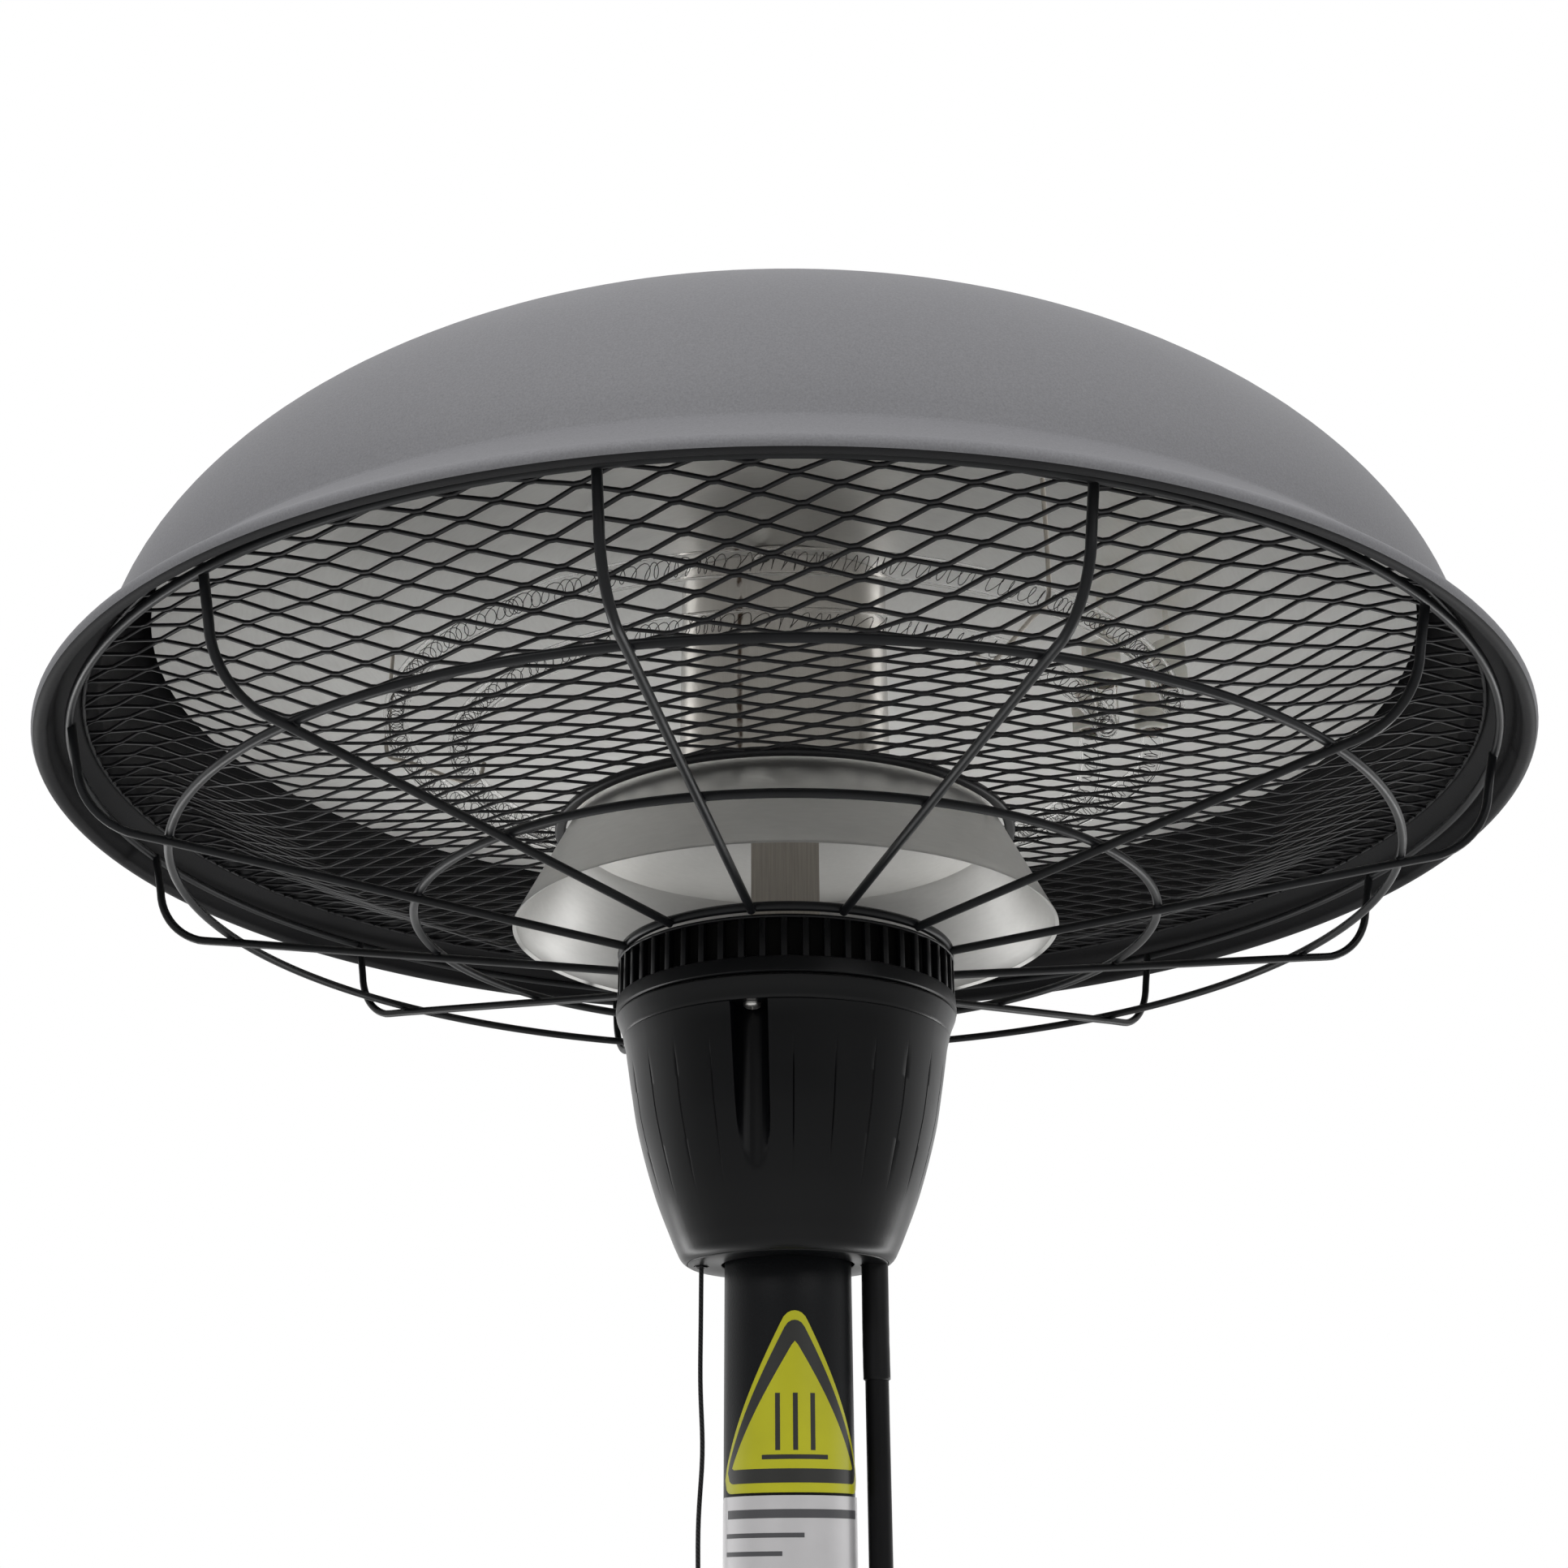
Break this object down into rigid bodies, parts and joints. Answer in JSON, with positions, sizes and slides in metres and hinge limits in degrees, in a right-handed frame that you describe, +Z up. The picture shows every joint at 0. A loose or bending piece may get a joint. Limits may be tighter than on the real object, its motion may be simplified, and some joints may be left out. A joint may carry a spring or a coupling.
{
  "type": "electric patio heater",
  "caption": "Floor-standing electric patio heater: domed steel shade over ring quartz elements, wire and mesh guards, pull-cord switch housing, post and weighted round base.",
  "frame": {"origin": "on the floor, at the centre of the base's underside", "axes": "+Z up along the post; -Y is the front, where the label is; the supply cable runs down the +X side of the post and the pull cord hangs on the -X side"},
  "size_m": [0.5992, 0.6893, 2.1082],
  "materials": {
    "shade_paint": "grey fine-textured powder coat",
    "post_paint": "charcoal satin powder coat",
    "black_wire": "black satin paint on steel wire and mesh",
    "housing_plastic": "black satin heat-resistant plastic",
    "aluminium": "bright rolled aluminium with fine grain",
    "steel": "brushed or zinc-plated steel",
    "quartz": "clear quartz tube",
    "filament_wire": "oxidised resistance wire",
    "ceramic": "unglazed white ceramic",
    "cable_rubber": "black matte rubber",
    "cord_fibre": "black braided fibre",
    "label_yellow": "yellow printed film",
    "label_silver": "silver film",
    "light_plastic": "off-white moulded plastic",
    "concrete": "cast concrete"
  },
  "bodies": {
    "heater": {"shade": "shade_paint", "shade_washer": "steel", "shade_cap_nut": "steel", "shade_spacer": "steel", "centre_stud": "steel", "upper_reflector": "aluminium", "reflector_column": "aluminium", "lower_reflector": "aluminium", "column_screw": "steel", "quartz_tube_outer": "quartz", "quartz_tube_inner": "quartz", "filament_outer": "filament_wire", "filament_inner": "filament_wire", "end_cap_outer_1": "ceramic", "end_cap_outer_2": "ceramic", "end_cap_inner_1": "ceramic", "end_cap_inner_2": "ceramic", "tube_hanger_1": "steel", "tube_hanger_2": "steel", "tube_hanger_3": "steel", "mesh_guard": "black_wire", "mesh_hem_ring": "black_wire", "wire_guard": "black_wire", "vent_collar": "housing_plastic", "switch_housing": "housing_plastic", "housing_floor": "housing_plastic", "housing_screw_1": "steel", "housing_screw_2": "steel", "housing_screw_3": "steel", "cord_bush": "housing_plastic", "head_stem": "steel", "post_socket": "steel", "switch_case": "light_plastic", "switch_lid": "light_plastic", "wheel_spring": "steel", "tilt_case": "light_plastic", "terminal_block": "light_plastic", "thermal_cutout": "light_plastic", "upper_post": "post_paint", "lower_post": "post_paint", "post_coupler": "steel", "base_flange": "steel", "base_weight": "concrete", "base_cover": "post_paint", "cover_trim_ring": "housing_plastic", "base_foot_pad": "cable_rubber", "warning_label": "label_yellow", "rating_label": "label_silver", "cable_sleeve": "cable_rubber", "power_cable": "cable_rubber", "cable_coil": "cable_rubber", "cable_tie": "housing_plastic", "cable_clip_1": "housing_plastic", "cable_clip_2": "housing_plastic", "cable_clip_3": "housing_plastic", "plug": "cable_rubber"},
    "pull": {"pull_cord": "cord_fibre", "pull_knob": "housing_plastic"},
    "wheel": {"pull_wheel": "light_plastic"},
    "pendulum": {"tilt_pendulum": "steel"}
  },
  "joints": [
    {"name": "pull_slide", "type": "slide", "parent": "heater", "child": "pull", "axis": [0, 0, -1], "range_m": [0, 0.012], "stiffness_N_per_m": 300, "springref_m": -0.002},
    {"name": "wheel_turn", "type": "hinge", "parent": "heater", "child": "wheel", "pos_m": [-0.0263, 0, 1.781], "axis": [0, -1, 0], "range_deg": [0, 116]},
    {"name": "tilt_swing", "type": "hinge", "parent": "heater", "child": "pendulum", "pos_m": [0.016, -0.033, 1.793], "axis": [1, 0, 0], "range_deg": [-10, 10]}
  ],
  "couplings": [
    {"joint": "wheel_turn", "follows": "pull_slide", "rad_per_m": 166.67}
  ]
}
